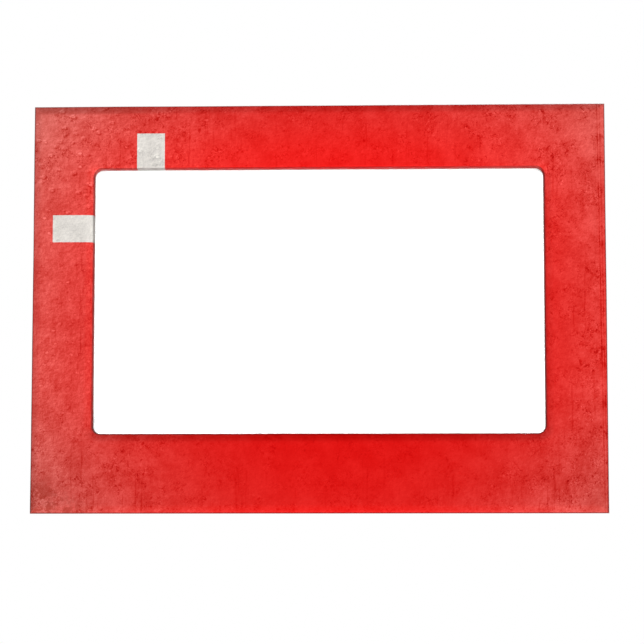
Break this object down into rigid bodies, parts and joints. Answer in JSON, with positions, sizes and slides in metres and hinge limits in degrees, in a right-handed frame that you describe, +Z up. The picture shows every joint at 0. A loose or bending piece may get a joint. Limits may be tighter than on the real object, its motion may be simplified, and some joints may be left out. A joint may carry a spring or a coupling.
{
  "type": "magnetic photo frame",
  "caption": "Flat padded fridge-door photo frame with a printed red front, clear window, top-loading card pocket and flexible magnet strips on the back.",
  "frame": {"origin": "middle of the magnets' back plane, on the door, at the centre of the frame's outline", "axes": "+X to the right along the long side, +Y into the door, +Z up; the printed front faces -Y"},
  "size_m": [0.1778, 0.0072, 0.127],
  "materials": {
    "printed_film": "satin",
    "foam": "matte",
    "grey_board": "matte",
    "clear_film": "polished",
    "tape": "matte",
    "card_stock": "satin",
    "lining_paper": "matte",
    "magnet_rubber": "matte"
  },
  "bodies": {
    "frame": {"printed_wrap": "printed_film", "foam_pad": "foam", "front_board": "grey_board", "window_sheet": "clear_film", "window_tape_left": "tape", "window_tape_right": "tape", "window_tape_top": "tape", "window_tape_bottom": "tape", "spacer_left": "grey_board", "spacer_right": "grey_board", "spacer_bottom": "grey_board", "back_board": "grey_board", "back_lining": "lining_paper", "magnet_strip_upper": "magnet_rubber", "magnet_strip_middle": "magnet_rubber", "magnet_strip_lower": "magnet_rubber", "magnet_tape_upper": "tape", "magnet_tape_middle": "tape", "magnet_tape_lower": "tape"},
    "card": {"photo_card": "card_stock"}
  },
  "joints": [
    {"name": "card_lift", "type": "slide", "parent": "frame", "child": "card", "axis": [0, 0, 1], "range_m": [0, 0.115]}
  ]
}
